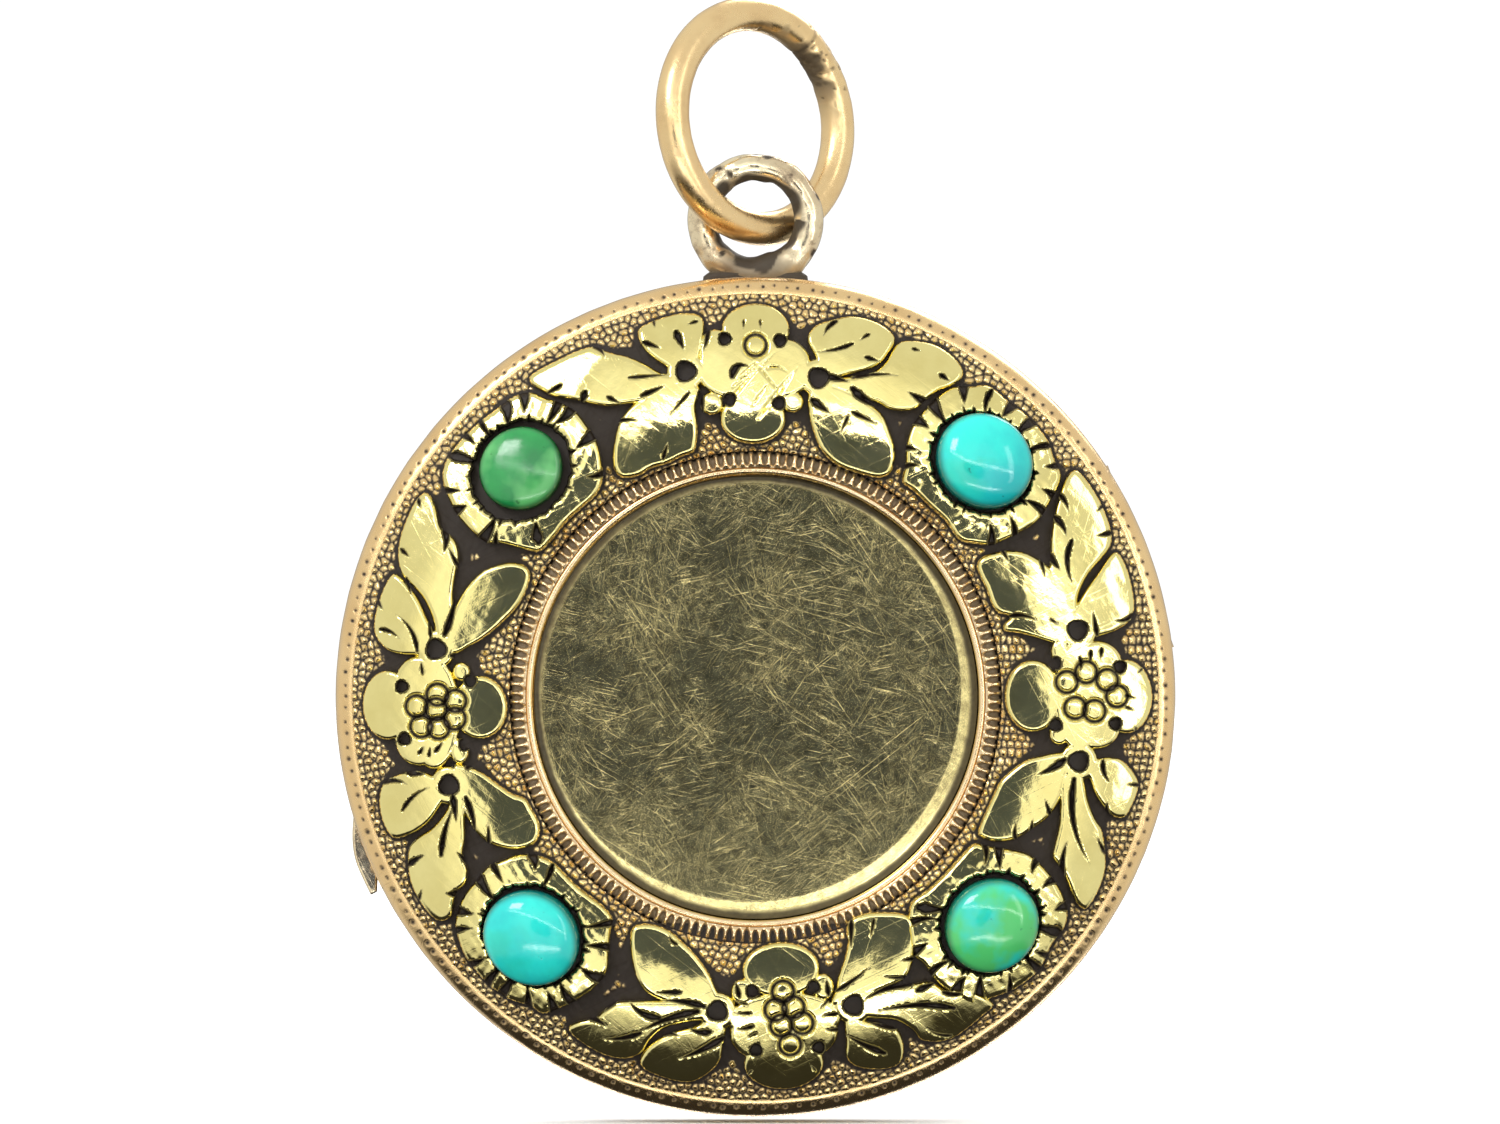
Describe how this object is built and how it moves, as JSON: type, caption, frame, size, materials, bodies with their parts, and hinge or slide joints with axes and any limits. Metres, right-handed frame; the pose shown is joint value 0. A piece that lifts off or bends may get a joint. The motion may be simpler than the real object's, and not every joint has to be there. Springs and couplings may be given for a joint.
{
  "type": "locket",
  "caption": "Round hinged locket with applied flower sprays, cabochon stones in notched collets, a loop and a jump ring; it opens onto glazed picture frames.",
  "frame": {"origin": "middle of the flat back face", "axes": "+Z towards the loop and the jump ring, -Y out of the decorated face, +X to the right of someone who looks at that face"},
  "size_m": [0.026, 0.008, 0.0348],
  "materials": {
    "rose_gold": "worn rose gold, dark in the punched ground",
    "green_gold": "greenish gold, satin with bright edges",
    "polished_gold": "mirror polished, finely scratched",
    "pale_gold": "hand-forged, tarnished",
    "wire_gold": "drawn wire, polished",
    "turquoise": "polished",
    "green_stone": "polished, mottled",
    "glass": "clear",
    "card": "matt laid card"
  },
  "bodies": {
    "case_back": {"back_cover": "rose_gold", "back_bezel": "rose_gold", "back_glass": "glass", "back_card": "card", "hinge_knuckles_back": "rose_gold", "hinge_pin": "pale_gold", "pendant_foot": "pale_gold", "pendant_loop": "pale_gold"},
    "cover": {"front_cover": "rose_gold", "centre_plate": "polished_gold", "milgrain_ring": "rose_gold", "spray_right": "green_gold", "spray_top": "green_gold", "spray_left": "green_gold", "spray_bottom": "green_gold", "collet_upper_right": "green_gold", "collet_upper_left": "green_gold", "collet_lower_left": "green_gold", "collet_lower_right": "green_gold", "stone_upper_right": "turquoise", "stone_upper_left": "green_stone", "stone_lower_left": "turquoise", "stone_lower_right": "turquoise", "hinge_knuckle_front": "rose_gold", "thumb_lip": "pale_gold", "front_bezel": "rose_gold", "front_glass": "glass", "front_card": "card"},
    "ring": {"jump_ring": "wire_gold"}
  },
  "joints": [
    {"name": "cover_hinge", "type": "hinge", "parent": "case_back", "child": "cover", "pos_m": [0.01146, -0.0018, 0.00417], "axis": [-0.342, 0, 0.9397], "range_deg": [0, 125]},
    {"name": "ring_turn", "type": "hinge", "parent": "case_back", "child": "ring", "pos_m": [0, -0.00115, 0.01455], "axis": [0, 0.1167, 0.9932], "range_deg": [0, 100]}
  ]
}
